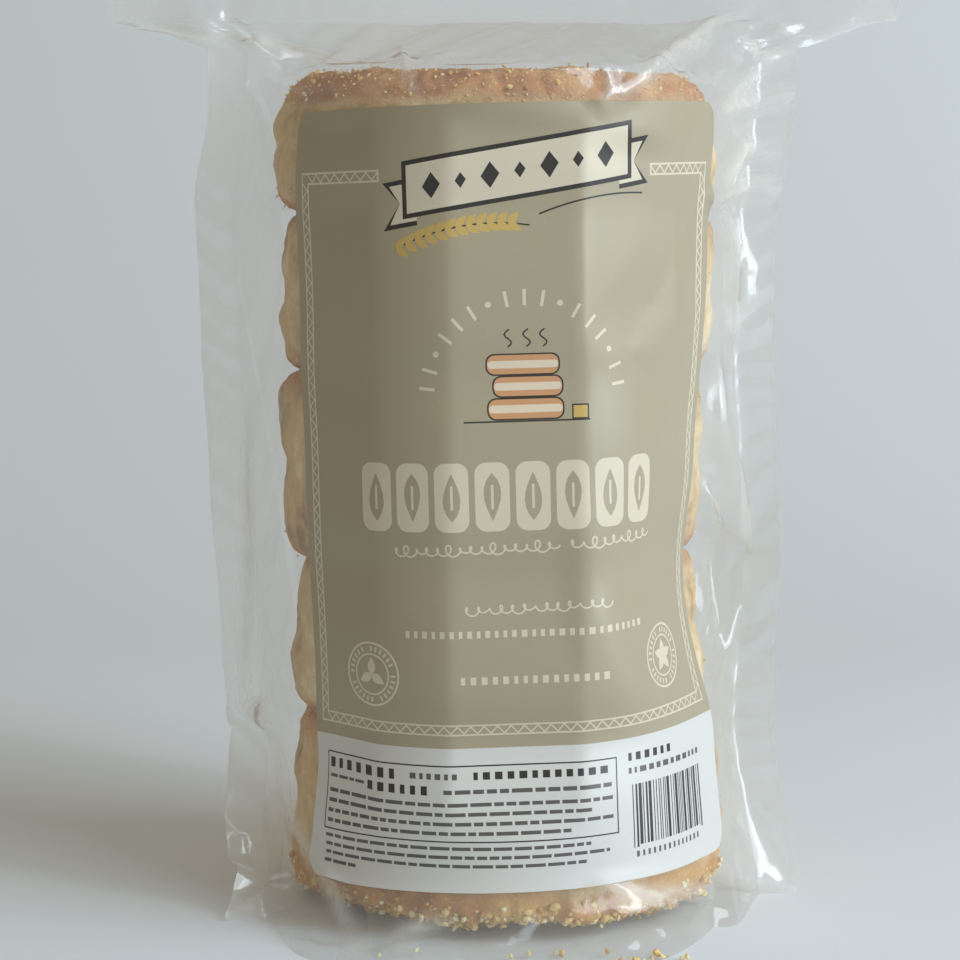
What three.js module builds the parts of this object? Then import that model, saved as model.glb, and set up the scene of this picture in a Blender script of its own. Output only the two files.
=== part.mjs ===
// A sealed clear pouch holding a stack of five english muffins, with a paper label on its front.
// Units are millimetres. +Z is up, the label faces -Y, and the origin is on the table, under the
// middle of the pouch's footprint.
import * as THREE from "three";

// The stack inside, from the table up
const muffinHeights = [37, 33, 38, 33, 27];
const muffinRadius = 45;
const stackBottom = 3;
const stackTop = stackBottom + muffinHeights.reduce((sum, height) => sum + height, 0);
const stackAxisY = 7.5; // the stack stands behind the middle of the footprint, clear of the tongue

// The pouch: two sheets welded to each other along all four edges
const sheetHalfWidth = 83; // half the width of the flat pouch, with its side welds
const weldWidth = 8;
const weldThickness = 1.2;
const filmSlack = 1.5; // how far the film stands off the muffins' rims
const waistDepths = [3, 1.5, 1.5, 1.5]; // how far it sinks in between each two muffins
const waistHalfHeight = 7;
const filmTop = stackTop + 1;
const closureHeight = stackTop + 13; // where the two sheets meet above the stack
const flareStart = filmTop + 6; // below it the side edges stand straight, above it they spread out flat
const closureOffset = 10; // that line lies behind the stack's axis
const pouchTop = closureHeight + 40;
const flapLean = 5; // how far the flap's top edge leans back
const flapRipple = { depth: 2.2, length: 17, start: 0.6 };
const calm = 0.17; // dents and the foot's swell die out over this part of the way to the welds

// The foot: the lower weld lies on the table, round the front of the stack
const tongueReach = 62; // from the stack's axis to the front of the weld
const tongueHalfWidth = 46;
const tongueMiddle = -4;
const footHeight = 15; // above it, the film hangs straight
const heelRadius = 7; // the back sheet turns under the stack in a round edge

// The dents low on the right of the front sheet, where the film is drawn in between the muffins
const dents = [
  { across: 45, height: 68, halfWidth: 14, halfHeight: 20, depth: 18 },
  { across: 45, height: 99, halfWidth: 12, halfHeight: 25, depth: 9 },
];

// The label: a paper sheet stuck to the front sheet of film
const label = { width: 101.6, height: 152.4, corner: 4, thickness: 0.4, gap: 0.6, tilt: 1.45 };
const labelMiddle = { across: 3.7, height: stackBottom + 85 };

// How finely the curved surfaces are cut into flat faces
const ringColumns = 32;
const ringFractions = [0, 0.1, 0.24, 0.5, 0.76, 0.9]; // of each muffin's height
const labelColumns = 30;
const labelRows = 26;

const clamp01 = (t) => Math.min(1, Math.max(0, t));
const mix = (a, b, t) => a + (b - a) * t;
const smooth = (t) => clamp01(t) ** 2 * (3 - 2 * clamp01(t));
const bump = (t) => Math.exp(-t * t);

// Even steps from -1 to 1, drawn closer together towards both ends by a share of a sine's bend
const crowdOutwards = (t, share) => mix(t, Math.sin((t * Math.PI) / 2), share);

// Smooth stretches between [height, value] points
function along(points, z) {
  const last = points.length - 1;
  if (z <= points[0][0]) return points[0][1];
  for (let i = 0; i < last; i += 1) {
    const [z0, v0] = points[i];
    const [z1, v1] = points[i + 1];
    if (z <= z1) return mix(v0, v1, smooth((z - z0) / (z1 - z0)));
  }
  return points[last][1];
}

// The side edges: how far each weld stands out from the stack's axis, and how far forward it lies.
// They run straight up beside the stack, and spread to the full width where the pouch closes.
const leftReach = [[0, 57], [20, 61], [60, 62], [90, 63.5], [120, 65], [147, 65.5], [168, 62]];
const rightReach = [[0, 62], [40, 60], [90, 58.5], [140, 59], [168, 61]];
const leftForward = [[0, 27], [18, 9], [36, -4], [70, 0]];
const rightForward = [[0, 6], [30, 2], [60, 0]];

function closing(z) {
  return clamp01((z - filmTop) / (closureHeight - filmTop));
}

function edgeReach(z, reach) {
  const flare = clamp01((z - flareStart) / (closureHeight - flareStart));
  return mix(along(reach, z), sheetHalfWidth, flare);
}

// How far the film sinks in at the waists between the muffins
function waistDepth(z) {
  let seam = stackBottom;
  let sunk = 0;
  waistDepths.forEach((depth, i) => {
    seam += muffinHeights[i];
    sunk += depth * bump((z - seam) / waistHalfHeight);
  });
  return sunk;
}

// Half the depth of the pouch at the stack's axis, which shrinks to nothing at the closure
function halfDepth(z) {
  const full = muffinRadius + filmSlack - waistDepth(z);
  return mix(full, 0, closing(z));
}

// Seen from above, the film wraps the stack in an arc, and runs straight from there to each weld.
// across is -1 and 1 at the welds' inner edges, and the result is 1 at the stack's axis.
const tightness = 0.84; // the muffins' radius over the distance to a weld's inner edge
function wrap(across) {
  const s = Math.abs(across);
  if (s < tightness ** 2) return Math.sqrt(1 - (s / tightness) ** 2);
  return (1 - s) / Math.sqrt(1 - tightness ** 2);
}

// The tongue that the foot of the front sheet makes on the table: blunt in front, with round sides
function tongue(x) {
  const s = clamp01(Math.abs(x - tongueMiddle) / tongueHalfWidth);
  return tongueReach * (1 - s ** 4 / 2);
}

function dentDepth(x, z) {
  let depth = 0;
  for (const { across, height, halfWidth, halfHeight, depth: middle } of dents) {
    depth += middle * bump((x - across) / halfWidth) * bump((z - height) / halfHeight);
  }
  return depth;
}

// How far the round edge under the stack draws the back sheet in
function heel(z) {
  const rise = clamp01(1 - z / heelRadius);
  return heelRadius * (1 - Math.sqrt(1 - rise ** 2));
}

// One level of the pouch: the line from its left weld to its right one, and both sheets' depths
function level(z) {
  const left = edgeReach(z, leftReach);
  const right = edgeReach(z, rightReach);
  const upFlap = clamp01((z - closureHeight) / (pouchTop - closureHeight));
  const back = closureOffset * smooth(closing(z)) + flapLean * upFlap;
  const foot = (1 - clamp01(z / footHeight)) ** 2; // 1 on the table, 0 where the film hangs straight
  return { z, left, right, back, depth: halfDepth(z), foot };
}

// The y of the front sheet (side -1) or the back one (side 1) at x on a level
function sheetY(at, x, side) {
  const inner = x < 0 ? at.left - weldWidth : at.right - weldWidth;
  const across = THREE.MathUtils.clamp(x / inner, -1, 1);
  const round = wrap(across);
  const toRight = (x / (x < 0 ? at.left : at.right) + 1) / 2;
  const edgeY = at.back - mix(along(leftForward, at.z), along(rightForward, at.z), toRight);
  const ripple = flapRipple.depth * Math.sin(x / flapRipple.length + flapRipple.start) * closing(at.z);
  const free = smooth((1 - Math.abs(across)) / calm);
  let y = mix(edgeY, at.back, round) + side * (at.depth * round + weldThickness / 2) + ripple;
  if (side > 0) y -= heel(at.z) * free;
  else {
    y += dentDepth(x, at.z) * free;
    y = mix(y, Math.min(y, -tongue(x)), at.foot * free);
  }
  return y + stackAxisY;
}

// The levels at which the pouch is drawn: close together where its shape turns
function levelHeights() {
  const heights = [0, 1.2, 3, 5.5, 8.5, 12];
  let foot = stackBottom;
  for (const height of muffinHeights) {
    for (const fraction of ringFractions) {
      const z = foot + height * fraction;
      if (z > heights[heights.length - 1] + 2) heights.push(z);
    }
    foot += height;
  }
  heights.push(filmTop);
  for (const t of [0.08, 0.2, 0.35, 0.5, 0.67, 0.84, 1]) {
    heights.push(mix(filmTop, closureHeight, t));
  }
  for (const t of [0.12, 0.3, 0.5, 0.7, 0.85, 1]) heights.push(mix(closureHeight, pouchTop, t));
  return heights;
}

// A closed body from points and a list of triangles
function body(points, triangles) {
  const geometry = new THREE.BufferGeometry();
  geometry.setAttribute("position", new THREE.Float32BufferAttribute(points, 3));
  geometry.setIndex(triangles);
  geometry.computeVertexNormals();
  return geometry;
}

// Two triangles between four points, in order round the face
function quad(triangles, a, b, c, d) {
  triangles.push(a, b, c, a, c, d);
}

// The pouch with its contents, as one body. Each level holds the front sheet's points from left to
// right, and then the back sheet's in the same order, so that both ends close with plain strips.
function pouchGeometry() {
  const points = [];
  const triangles = [];
  const heights = levelHeights();
  const columns = ringColumns + 3;
  for (const z of heights) {
    const at = level(z);
    for (const side of [-1, 1]) {
      for (let i = 0; i < columns; i += 1) {
        let x;
        if (i === 0) x = -at.left;
        else if (i === columns - 1) x = at.right;
        else {
          const q = (2 * (i - 1)) / ringColumns - 1;
          x = crowdOutwards(q, 0.5) * ((q < 0 ? at.left : at.right) - weldWidth);
        }
        points.push(x, sheetY(at, x, side), z);
      }
    }
  }
  const loop = 2 * columns;
  const front = (ring, i) => ring * loop + i;
  const rear = (ring, i) => ring * loop + columns + i;
  for (let ring = 0; ring < heights.length - 1; ring += 1) {
    for (let i = 0; i < columns - 1; i += 1) {
      quad(triangles, front(ring, i), front(ring, i + 1), front(ring + 1, i + 1), front(ring + 1, i));
      quad(triangles, rear(ring, i + 1), rear(ring, i), rear(ring + 1, i), rear(ring + 1, i + 1));
    }
    const end = columns - 1;
    quad(triangles, rear(ring, 0), front(ring, 0), front(ring + 1, 0), rear(ring + 1, 0));
    quad(triangles, front(ring, end), rear(ring, end), rear(ring + 1, end), front(ring + 1, end));
  }
  const top = heights.length - 1;
  for (let i = 0; i < columns - 1; i += 1) {
    quad(triangles, front(0, i), rear(0, i), rear(0, i + 1), front(0, i + 1));
    quad(triangles, front(top, i), front(top, i + 1), rear(top, i + 1), rear(top, i));
  }
  return body(points, triangles);
}

// Where the front sheet is, a given length of film to the right of its middle line
function acrossFront(z, length) {
  const at = level(z);
  const stride = 0.5;
  const step = stride * Math.sign(length);
  let x = 0;
  let gone = 0;
  let y = sheetY(at, x, -1);
  while (length !== 0) {
    const nextY = sheetY(at, x + step, -1);
    const piece = Math.hypot(step, nextY - y);
    if (gone + piece >= Math.abs(length)) {
      const part = (Math.abs(length) - gone) / piece;
      return { x: x + step * part, y: mix(y, nextY, part) };
    }
    gone += piece;
    x += step;
    y = nextY;
  }
  return { x, y };
}

// The direction in which the front sheet faces
function frontNormal(x, z) {
  const reach = 1;
  const slopeX = (sheetY(level(z), x + reach, -1) - sheetY(level(z), x - reach, -1)) / (2 * reach);
  const slopeZ = (sheetY(level(z + reach), x, -1) - sheetY(level(z - reach), x, -1)) / (2 * reach);
  return new THREE.Vector3(slopeX, -1, slopeZ).normalize();
}

// The label: a sheet with round corners, bent over the front sheet, a hair's breadth off it
function labelGeometry() {
  const points = [];
  const triangles = [];
  const halfHeight = label.height / 2;
  const tilt = THREE.MathUtils.degToRad(label.tilt);
  for (const lift of [label.gap + label.thickness, label.gap]) {
    for (let row = 0; row <= labelRows; row += 1) {
      const r = (2 * row) / labelRows - 1;
      const up = halfHeight * crowdOutwards(r, 0.4);
      const intoCorner = Math.max(0, Math.abs(up) - halfHeight + label.corner);
      const cut = label.corner - Math.sqrt(Math.max(0, label.corner ** 2 - intoCorner ** 2));
      const halfWidth = label.width / 2 - cut;
      for (let column = 0; column <= labelColumns; column += 1) {
        const right = halfWidth * ((2 * column) / labelColumns - 1);
        const z = labelMiddle.height + up * Math.cos(tilt) + right * Math.sin(tilt);
        const length = labelMiddle.across + right * Math.cos(tilt) - up * Math.sin(tilt);
        const { x, y } = acrossFront(z, length);
        const out = frontNormal(x, z).multiplyScalar(lift);
        points.push(x + out.x, y + out.y, z + out.z);
      }
    }
  }
  const columns = labelColumns + 1;
  const inside = (labelRows + 1) * columns;
  const cell = (row, column) => row * columns + column;
  const edge = (a, b) => quad(triangles, a + inside, b + inside, b, a);
  for (let row = 0; row < labelRows; row += 1) {
    for (let column = 0; column < labelColumns; column += 1) {
      const corners = [
        cell(row, column), cell(row, column + 1), cell(row + 1, column + 1), cell(row + 1, column),
      ];
      quad(triangles, ...corners);
      quad(triangles, ...corners.map((corner) => corner + inside).reverse());
    }
    edge(cell(row + 1, 0), cell(row, 0));
    edge(cell(row, labelColumns), cell(row + 1, labelColumns));
  }
  for (let column = 0; column < labelColumns; column += 1) {
    edge(cell(0, column), cell(0, column + 1));
    edge(cell(labelRows, column + 1), cell(labelRows, column));
  }
  return body(points, triangles);
}

function named(name, geometry, colour, roughness, opacity = 1) {
  const material = new THREE.MeshStandardMaterial({
    color: colour, roughness, metalness: 0, opacity, transparent: opacity < 1,
  });
  const mesh = new THREE.Mesh(geometry, material);
  mesh.name = name;
  return mesh;
}

const pack = new THREE.Group();
pack.add(named("pouch", pouchGeometry(), 0xd8d3c0, 0.15, 0.6));
pack.add(named("label", labelGeometry(), 0x9a9a7e, 0.45));

export default pack;
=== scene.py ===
import math
import random
from collections import Counter

import bmesh
import bpy
import numpy as np
from mathutils import Matrix, Vector, geometry, noise


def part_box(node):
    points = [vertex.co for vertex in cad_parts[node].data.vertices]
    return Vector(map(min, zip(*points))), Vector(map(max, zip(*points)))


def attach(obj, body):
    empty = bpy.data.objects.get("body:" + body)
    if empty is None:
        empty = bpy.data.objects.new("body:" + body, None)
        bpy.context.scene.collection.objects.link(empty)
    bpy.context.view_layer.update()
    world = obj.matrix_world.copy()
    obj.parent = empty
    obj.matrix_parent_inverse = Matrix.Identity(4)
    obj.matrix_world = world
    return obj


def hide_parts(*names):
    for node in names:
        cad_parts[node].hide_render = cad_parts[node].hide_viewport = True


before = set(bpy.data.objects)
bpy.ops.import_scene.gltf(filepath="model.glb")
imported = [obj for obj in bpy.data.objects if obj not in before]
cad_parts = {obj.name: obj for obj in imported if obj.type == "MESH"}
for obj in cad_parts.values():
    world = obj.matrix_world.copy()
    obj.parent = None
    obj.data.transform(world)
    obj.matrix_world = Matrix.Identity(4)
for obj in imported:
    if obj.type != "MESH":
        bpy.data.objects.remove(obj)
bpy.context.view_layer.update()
scene = bpy.context.scene

# The camera stands as the photographer did: about half a metre in front, at the height of the upper
# muffins, looking slightly down. The film's sheets lie behind each other, so light passes many layers.
MM = 0.001
pouch_low, pouch_high = (Vector(corner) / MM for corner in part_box("pouch"))
axis_y = pouch_high.y - 47.1
stack_bottom = 3
camera_data = bpy.data.cameras.new("camera")
camera_data.sensor_width = 36
camera_data.lens = 36 * 2435 / 960
camera = bpy.data.objects.new("camera", camera_data)
camera.location = (-5.2 * MM, (axis_y - 510) * MM, (stack_bottom + 141) * MM)
camera.rotation_euler = (math.radians(90 - 6.33), 0, 0)
scene.collection.objects.link(camera)
scene.camera = camera
scene.cycles.transparent_max_bounces = 24


# The muffins are round yeast breads, griddled on both faces: pale, pitted sides between two browned,
# gritty faces. Each is spun from the profile of a flat round with soft shoulders, then roughened. They
# stand loose on one another, each a little off the stack's axis.
def deselect_all():
    bpy.ops.object.select_all(action="DESELECT")


def make_active(piece):
    deselect_all()
    piece.select_set(True)
    bpy.context.view_layer.objects.active = piece


class Wire:
    """A shader socket that maths can be written with. An expression adds its Math nodes to the tree."""

    def __init__(self, finish, socket):
        self.finish = finish
        self.socket = socket

    def math(self, operation, *values):
        return self.finish.node("ShaderNodeMath", 0, {"operation": operation}, *values)

    def __add__(self, other):
        return self.math("ADD", self, other)

    def __radd__(self, other):
        return self.math("ADD", other, self)

    def __sub__(self, other):
        return self.math("SUBTRACT", self, other)

    def __mul__(self, other):
        return self.math("MULTIPLY", self, other)

    def __rmul__(self, other):
        return self.math("MULTIPLY", other, self)

    def power(self, exponent):
        return self.math("POWER", self, exponent)

    def limited(self):
        return self.math("MAXIMUM", self.math("MINIMUM", self, 1.0), 0.0)


class Finish:
    """A material whose nodes are made by one method."""

    def __init__(self, name):
        self.material = bpy.data.materials.new(name)
        self.material.use_nodes = True
        self.tree = self.material.node_tree
        self.tree.nodes.clear()
        self.output = self.tree.nodes.new("ShaderNodeOutputMaterial")

    def node(self, kind, output, settings, *values, **named):
        made = self.tree.nodes.new(kind)
        for key, value in settings.items():
            if key == "stops":
                ramp = made.color_ramp
                while len(ramp.elements) < len(value):
                    ramp.elements.new(0.5)
                for element, (place, colour) in zip(ramp.elements, value):
                    element.position = place
                    element.color = (*colour, 1)
            else:
                setattr(made, key, value)
        by_place = [(made.inputs[i], value) for i, value in enumerate(values)]
        by_name = [(made.inputs[key.replace("_", " ")], value) for key, value in named.items()]
        for socket, value in by_place + by_name:
            if isinstance(value, Wire):
                self.tree.links.new(value.socket, socket)
            elif value is not None:
                socket.default_value = (*value, 1) if socket.type == "RGBA" else value
        return Wire(self, made.outputs[output])

    def coordinates(self, kind="Object"):
        return self.node("ShaderNodeTexCoord", kind, {})

    def attribute(self, name):
        return self.node("ShaderNodeAttribute", "Fac", {"attribute_name": name})

    def noise(self, place, scale, detail=3.0, roughness=0.5):
        return self.node(
            "ShaderNodeTexNoise", "Fac", {}, Vector=place, Scale=scale, Detail=detail, Roughness=roughness
        )

    def ramp(self, factor, *stops):
        return self.node("ShaderNodeValToRGB", "Color", {"stops": stops}, factor)

    def mixed(self, factor, first, second):
        return self.node(
            "ShaderNodeMix", 2, {"data_type": "RGBA"}, factor, None, None, None, None, None, first, second
        )

    def bump(self, height, distance, strength=1.0):
        return self.node(
            "ShaderNodeBump", "Normal", {}, Height=height, Distance=distance, Strength=strength
        )

    def surface(self, shader):
        self.tree.links.new(shader.socket, self.output.inputs["Surface"])
        return self.material


def srgb(red, green, blue):
    """The linear colour of an sRGB colour given in 0 to 255."""
    return tuple(((c / 255 + 0.055) / 1.055) ** 2.4 for c in (red, green, blue))


# Sizes from the table up: radius, thickness, and how far each lies to the right of and behind the axis
muffin_sizes = [
    (44.6, 37, 0.2, 0.3),
    (43.0, 33, -0.8, -0.6),
    (44.1, 38, -2.4, 0.5),
    (44.1, 33, -1.4, -0.4),
    (45.2, 27, -1.9, 0.2),
]
stack_top = stack_bottom + sum(size[1] for size in muffin_sizes)
muffin_segments = 288
# Where the film presses the bread in: the direction round the axis and its spread in degrees, the height
# and half height, and the depth
presses = [(-27, 22, 68, 20, 8.0), (-25, 20, 100, 24, 3.5)]


def muffin_profile(radius, height):
    """Points from the middle of the lower face round the side to the middle of the upper one."""
    shoulder = 5
    flat = radius - shoulder
    rounded = [k / 12 * math.pi / 2 for k in range(13)]
    lower = [(flat * k / 22, 0) for k in range(22)]
    lower += [(flat + shoulder * math.sin(a), shoulder * (1 - math.cos(a))) for a in rounded]
    rise = height - 2 * shoulder
    side = [(radius + 1.0 * math.sin(math.pi * k / 22), shoulder + rise * k / 22) for k in range(1, 22)]
    upper = [(r, height - z) for r, z in reversed(lower)]
    return lower + side + upper


def muffin_relief(point, radius, height, seed):
    """How far a muffin's skin stands out at a point of its plain form, in millimetres."""
    offset = Vector((seed * 31.7, seed * 17.3, seed * 7.9))
    across = math.hypot(point.x, point.y)
    side = max(0.0, min(1.0, (across - radius + 9) / 8))
    lumps = 1.5 * noise.noise((point + offset) / 22) + 0.8 * noise.noise((point - offset) / 9)
    crumb = 0.42 * noise.noise((point + offset) / 3.4) + 0.2 * noise.noise((point - offset) / 1.5)
    cell = noise.voronoi((point + offset) / 5.2)[0][0]
    pits = -1.1 * max(0.0, 0.3 - cell) / 0.3
    crease = -1.3 * math.exp(-(((point.z / height - 0.5 + 0.05 * noise.noise(point / 30)) * 9) ** 2))
    hollow = -0.8 * max(0.0, 1 - across / radius) if side == 0 else 0
    rim = side * math.exp(-(((point.z - (2 if seed == 1 else height - 1)) / 4.5) ** 2))
    clods = 2.6 * max(0.0, noise.noise((point - offset) / 3.4)) + 1.2 * max(0.0, noise.noise(point / 1.7))
    clods *= rim * (1.0 if seed == 1 else 0.45)
    skin = lumps * (0.35 + 0.65 * side) + crumb * (0.5 + 0.5 * side)
    return skin + side * (pits + crease) + hollow + clods


def squeezed(place):
    """A point of the stack, moved in where the tight film presses the bread on the right."""
    right = place.x
    behind = place.y - axis_y
    turn = math.degrees(math.atan2(behind, right))
    inwards = 0
    for middle, spread, height, half_height, depth in presses:
        near = math.exp(-(((turn - middle) / spread) ** 2) - ((place.z - height) / half_height) ** 2)
        inwards += depth * near
    share = min(1, math.hypot(right, behind) / 45) ** 3
    return place - Vector((right, behind, 0)).normalized() * inwards * share


def make_muffin(number, radius, height, right, behind, floor):
    name = f"muffin_{number}"
    deselect_all()
    points = muffin_profile(radius, height)
    mesh = bpy.data.meshes.new(name)
    edges = [(k, k + 1) for k in range(len(points) - 1)]
    mesh.from_pydata([(r, 0, z) for r, z in points], edges, [])
    muffin = bpy.data.objects.new(name, mesh)
    scene.collection.objects.link(muffin)
    make_active(muffin)
    bpy.ops.object.mode_set(mode="EDIT")
    bpy.ops.mesh.select_all(action="SELECT")
    bpy.ops.mesh.spin(
        steps=muffin_segments, angle=math.tau, center=(0, 0, 0), axis=(0, 0, 1), dupli=False
    )
    bpy.ops.mesh.select_all(action="SELECT")
    bpy.ops.mesh.remove_doubles(threshold=0.01)
    bpy.ops.mesh.normals_make_consistent(inside=False)
    bpy.ops.object.mode_set(mode="OBJECT")
    mesh = muffin.data
    browning = mesh.attributes.new("browning", "FLOAT", "POINT")
    golden = mesh.attributes.new("golden", "FLOAT", "POINT")
    centre = Vector((right, behind + axis_y, floor))
    placed = []
    browned = []
    for vertex in mesh.vertices:
        place = vertex.co.copy()
        out = vertex.normal * muffin_relief(place, radius, height, number)
        face = abs(place.z / height - 0.5) * 2
        outer_face = number == (1 if place.z < height / 2 else len(muffin_sizes))
        edge = (0.5 if outer_face else 0.74) + 0.16 * noise.noise(place / 11 + Vector((number, 0, 0)))
        browned.append(max(0.0, min(1.0, (face - edge) / 0.16)))
        risen = max(0.0, place.z / height - 0.4) / 0.6
        narrowing = 1 - (0.1 if number == len(muffin_sizes) else 0.02) * risen ** 1.5
        place = Vector((place.x * narrowing, place.y * narrowing, place.z))
        placed.append(squeezed(place + out + centre) * MM)
    mesh.vertices.foreach_set("co", [c for place in placed for c in place])
    browning.data.foreach_set("value", browned)
    golden.data.foreach_set("value", [0.85 if number == 1 else 0.25] * len(placed))
    make_active(muffin)
    bpy.ops.object.shade_smooth()
    return muffin


def muffin_finish():
    skin = Finish("griddled_bread")
    place = skin.coordinates()
    browning = skin.attribute("browning")
    blotches = skin.noise(place, 90, 4)
    crumb = skin.noise(place, 420, 5, 0.65)
    patches = skin.noise(place, 55, 3, 0.6)
    pale = skin.ramp(
        patches + 0.5 * (crumb - 0.5), (0.3, srgb(166, 130, 88)), (0.44, srgb(206, 174, 126)),
        (0.58, srgb(220, 190, 142)), (0.72, srgb(236, 214, 174)),
    )
    toasted = skin.ramp(
        blotches, (0.28, srgb(152, 88, 54)), (0.5, srgb(186, 122, 80)), (0.75, srgb(212, 164, 116))
    )
    golden = skin.ramp(
        blotches, (0.28, srgb(176, 112, 54)), (0.5, srgb(212, 156, 88)), (0.75, srgb(230, 190, 120))
    )
    crust = skin.mixed(skin.attribute("golden"), toasted, golden)
    flour = ((skin.noise(place, 1100, 3, 0.7) - 0.56) * 7).limited() * 0.6
    reach = (browning + (blotches - 0.5) * 0.7).limited()
    colour = skin.mixed(flour * reach, skin.mixed(reach, pale, crust), srgb(238, 212, 172))
    rough = skin.bump(crumb + 0.5 * skin.noise(place, 1500, 2), 0.0006, 0.7)
    return skin.surface(skin.node(
        "ShaderNodeBsdfPrincipled", "BSDF", {},
        Base_Color=colour, Roughness=0.82, Normal=rough,
        Subsurface_Weight=0.15, Subsurface_Radius=(0.003, 0.002, 0.001), Subsurface_Scale=1.0,
    ))


bread = muffin_finish()
muffins = []
floor = stack_bottom
for number, (radius, height, right, behind) in enumerate(muffin_sizes, 1):
    muffin = make_muffin(number, radius, height, right, behind, floor)
    muffin.data.materials.append(bread)
    floor += height
    muffins.append(muffin)


# The pouch is two sheets of clear film, welded along their sides, foot and top. The film is wrapped
# round the stack from its flat cut, and a cloth simulation lets it buckle as stiff film does. Its foot
# lies on the table in front of the stack, and its closed end fans out flat above it.
sheet_half_width = 83
weld_width = 8
film_slack = 1.5
waist_depths = [3, 1.5, 1.5, 1.5]
waist_half_height = 7
film_top = stack_top + 1
closure_height = stack_top + 13
flare_start = film_top + 6
closure_offset = 10
pouch_top = closure_height + 40
flap_lean = 5
tongue_reach = 62
tongue_half_width = 46
tongue_middle = -4
foot_height = 15
heel_radius = 7
tightness = 0.84
# By height: how far each side of the pouch reaches from the axis, and how far it is drawn forward
left_reach = [(0, 57), (20, 61), (60, 62), (90, 63.5), (120, 65), (147, 65.5), (168, 62)]
right_reach = [(0, 62), (40, 60), (90, 58.5), (140, 59), (168, 61)]
left_forward = [(0, 27), (18, 9), (36, -4), (70, 0)]
right_forward = [(0, 6), (30, 2), (60, 0)]
# Hollows in the front: x, height, half width, half height and depth
dents = [(45, 68, 14, 20, 18), (45, 99, 12, 25, 9)]


def clamped(t):
    return min(1.0, max(0.0, t))


def smooth(t):
    t = np.clip(t, 0, 1)
    return t * t * (3 - 2 * t)


def between(points, z):
    """A smooth stretch between (height, value) points."""
    for (z0, v0), (z1, v1) in zip(points, points[1:]):
        if z <= z1:
            return v0 + (v1 - v0) * float(smooth((z - z0) / (z1 - z0)))
    return points[-1][1]


def closing(z):
    return clamped((z - film_top) / (closure_height - film_top))


def edge_reach(z, reach):
    flare = clamped((z - flare_start) / (closure_height - flare_start))
    beside = between(reach, z)
    return beside + (sheet_half_width - beside) * flare


def half_depth(z):
    seam = stack_bottom
    waist = 0
    for size, depth in zip(muffin_sizes, waist_depths):
        seam += size[1]
        waist += depth * math.exp(-(((z - seam) / waist_half_height) ** 2))
    return (45 + film_slack - waist) * (1 - closing(z))


def sheet_line(z, side, steps=400):
    """The line that the front sheet (side -1) or the back one (side 1) follows at one height, from the
    left edge to the right one, as x and y."""
    left = edge_reach(z, left_reach)
    right = edge_reach(z, right_reach)
    x = np.linspace(-left, right, steps)
    inner = np.where(x < 0, left, right) - weld_width
    across = np.clip(np.abs(x) / inner, 0, 1)
    arc = np.sqrt(np.clip(1 - (across / tightness) ** 2, 0, 1))
    straight = (1 - across) / math.sqrt(1 - tightness ** 2)
    wrap = np.where(across < tightness ** 2, arc, straight)
    to_right = (x / np.where(x < 0, left, right) + 1) / 2
    up_flap = clamped((z - closure_height) / (pouch_top - closure_height))
    back = closure_offset * float(smooth(closing(z))) + flap_lean * up_flap
    forward = between(left_forward, z) * (1 - to_right) + between(right_forward, z) * to_right
    ripple = 2.2 * np.sin(x / 17 + 0.6) * closing(z)
    y = back - forward * (1 - wrap) + side * half_depth(z) * wrap + ripple
    free = smooth((1 - across) / 0.17)
    if side > 0:
        rise = clamped(1 - z / heel_radius)
        y -= heel_radius * (1 - math.sqrt(1 - rise ** 2)) * free
    else:
        for middle, height, half_width, half_height, depth in dents:
            near = np.exp(-(((x - middle) / half_width) ** 2) - ((z - height) / half_height) ** 2)
            y += depth * near * free
        beside = np.clip(np.abs(x - tongue_middle) / tongue_half_width, 0, 1)
        tongue = -tongue_reach * (1 - beside ** 4 / 2)
        foot = (1 - clamped(z / foot_height)) ** 2
        y += (np.minimum(y, tongue) - y) * foot * free
    return x, y + axis_y


film_pitch = 2.5
film_columns = 2 * round(sheet_half_width / film_pitch) + 1
weld_columns = round(weld_width / film_pitch)
film_heights = [0, 0.8, 1.8, 3, 4.5, 6.5, 9, 12]
film_heights += list(np.linspace(foot_height, film_top, round((film_top - foot_height) / film_pitch)))
film_heights += list(np.linspace(film_top, closure_height, 25)[1:])
closure_row = len(film_heights) - 1
film_heights += list(np.linspace(closure_height, pouch_top, 17)[1:])


def sheet_rows(side):
    """A sheet as a grid of points, evenly spaced along the film, with its welds in the outer columns."""
    rows = []
    for z in film_heights:
        x, y = sheet_line(z, side)
        gone = np.concatenate([[0], np.cumsum(np.hypot(np.diff(x), np.diff(y)))])
        inner = np.linspace(weld_width, gone[-1] - weld_width, film_columns - 2 * weld_columns)
        outer = np.linspace(0, weld_width, weld_columns + 1)[:-1]
        places = np.concatenate([outer, inner, gone[-1] - outer[::-1]])
        xs = np.interp(places, gone, x)
        ys = np.interp(places, gone, y)
        rows.append(np.stack([xs, ys, np.full(len(xs), z)], axis=1))
    return np.array(rows)


front_sheet = sheet_rows(-1)
back_sheet = sheet_rows(1)
# The front sheet's lengths along the film, from the line over the stack's axis: the label uses them
front_steps = np.linalg.norm(np.diff(front_sheet, axis=1), axis=2)
front_lengths = np.concatenate([np.zeros((len(film_heights), 1)), np.cumsum(front_steps, axis=1)], axis=1)
for row, z in enumerate(film_heights):
    front_lengths[row] -= np.interp(0, front_sheet[row, :, 0], front_lengths[row])


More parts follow.
